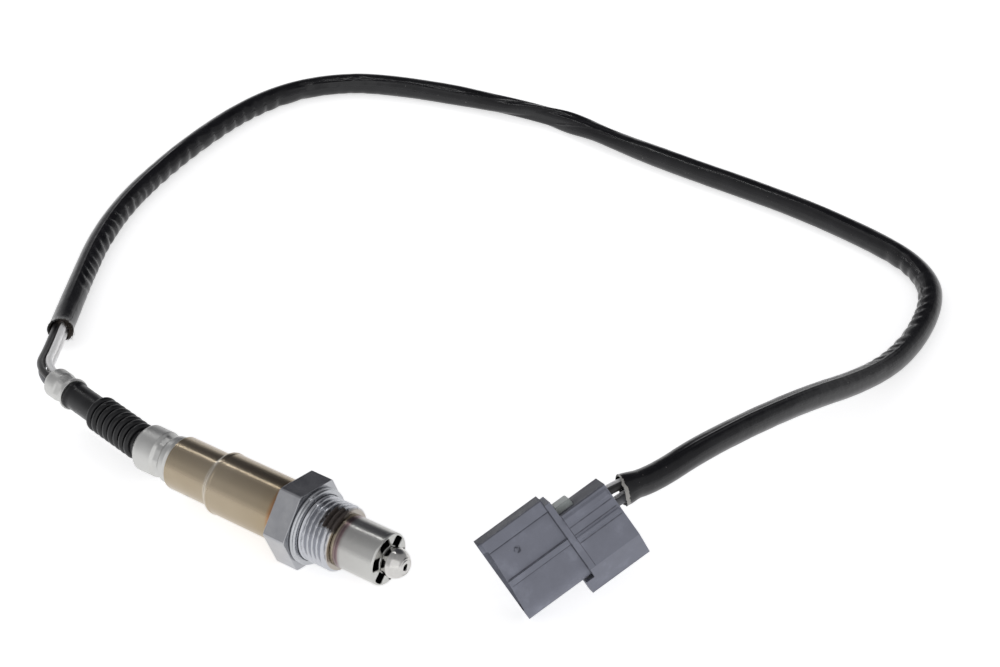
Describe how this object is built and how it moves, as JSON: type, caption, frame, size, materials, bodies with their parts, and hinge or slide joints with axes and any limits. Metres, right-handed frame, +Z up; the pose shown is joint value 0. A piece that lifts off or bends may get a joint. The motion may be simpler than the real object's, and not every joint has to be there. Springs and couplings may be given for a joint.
{
  "type": "oxygen sensor",
  "caption": "Heated exhaust oxygen sensor: slotted protection tube, hexagon and thread, stepped housing, bellows boot, sleeved lead and rectangular plug.",
  "frame": {"origin": "centre of the gasket's sealing face, on the thread's axis", "axes": "+X along the sensor, out of its nose; +Z up from the surface that the sensor lies on"},
  "size_m": [0.2634, 0.2483, 0.0338],
  "materials": {
    "guard_steel": "satin stainless steel",
    "shell_steel": "zinc-plated steel",
    "gasket_steel": "dull steel",
    "tinted_steel": "stainless steel with a straw heat tint",
    "collar_steel": "satin stainless steel",
    "contact_steel": "spring steel",
    "pin_metal": "tinned brass",
    "black_rubber": "matt moulded rubber",
    "seal_rubber": "matt silicone rubber",
    "sleeve": "varnished woven sleeving",
    "wire_black": "smooth insulation",
    "wire_grey": "smooth insulation",
    "wire_white": "smooth insulation",
    "plug_plastic": "moulded",
    "lock_plastic": "moulded",
    "element_ceramic": "fired",
    "insulator_ceramic": "fired",
    "talc": "pressed powder"
  },
  "bodies": {
    "root": {"outer_protection_tube": "guard_steel", "inner_protection_tube": "guard_steel", "hex_shell": "shell_steel", "sealing_gasket": "gasket_steel", "housing_tube": "tinted_steel", "crimp_collar": "collar_steel", "bellows_boot": "black_rubber", "end_ferrule": "collar_steel", "harness_sleeve": "sleeve", "connector_housing": "plug_plastic", "connector_retainer": "lock_plastic", "zirconia_element": "element_ceramic", "lower_insulator": "insulator_ceramic", "talc_seal": "talc", "upper_insulator": "insulator_ceramic", "contact_holder": "insulator_ceramic", "wire_grommet": "black_rubber", "wire_black_sensor_end": "wire_black", "wire_black_plug_end": "wire_black", "wire_white_a_sensor_end": "wire_white", "wire_white_a_plug_end": "wire_white", "wire_grey_sensor_end": "wire_grey", "wire_grey_plug_end": "wire_grey", "wire_white_b_sensor_end": "wire_white", "wire_white_b_plug_end": "wire_white", "contact_spring_a": "contact_steel", "terminal_pin_a": "pin_metal", "wire_seal_a": "seal_rubber", "contact_spring_b": "contact_steel", "terminal_pin_b": "pin_metal", "wire_seal_b": "seal_rubber", "contact_spring_c": "contact_steel", "terminal_pin_c": "pin_metal", "wire_seal_c": "seal_rubber", "contact_spring_d": "contact_steel", "terminal_pin_d": "pin_metal", "wire_seal_d": "seal_rubber"}
  },
  "joints": []
}
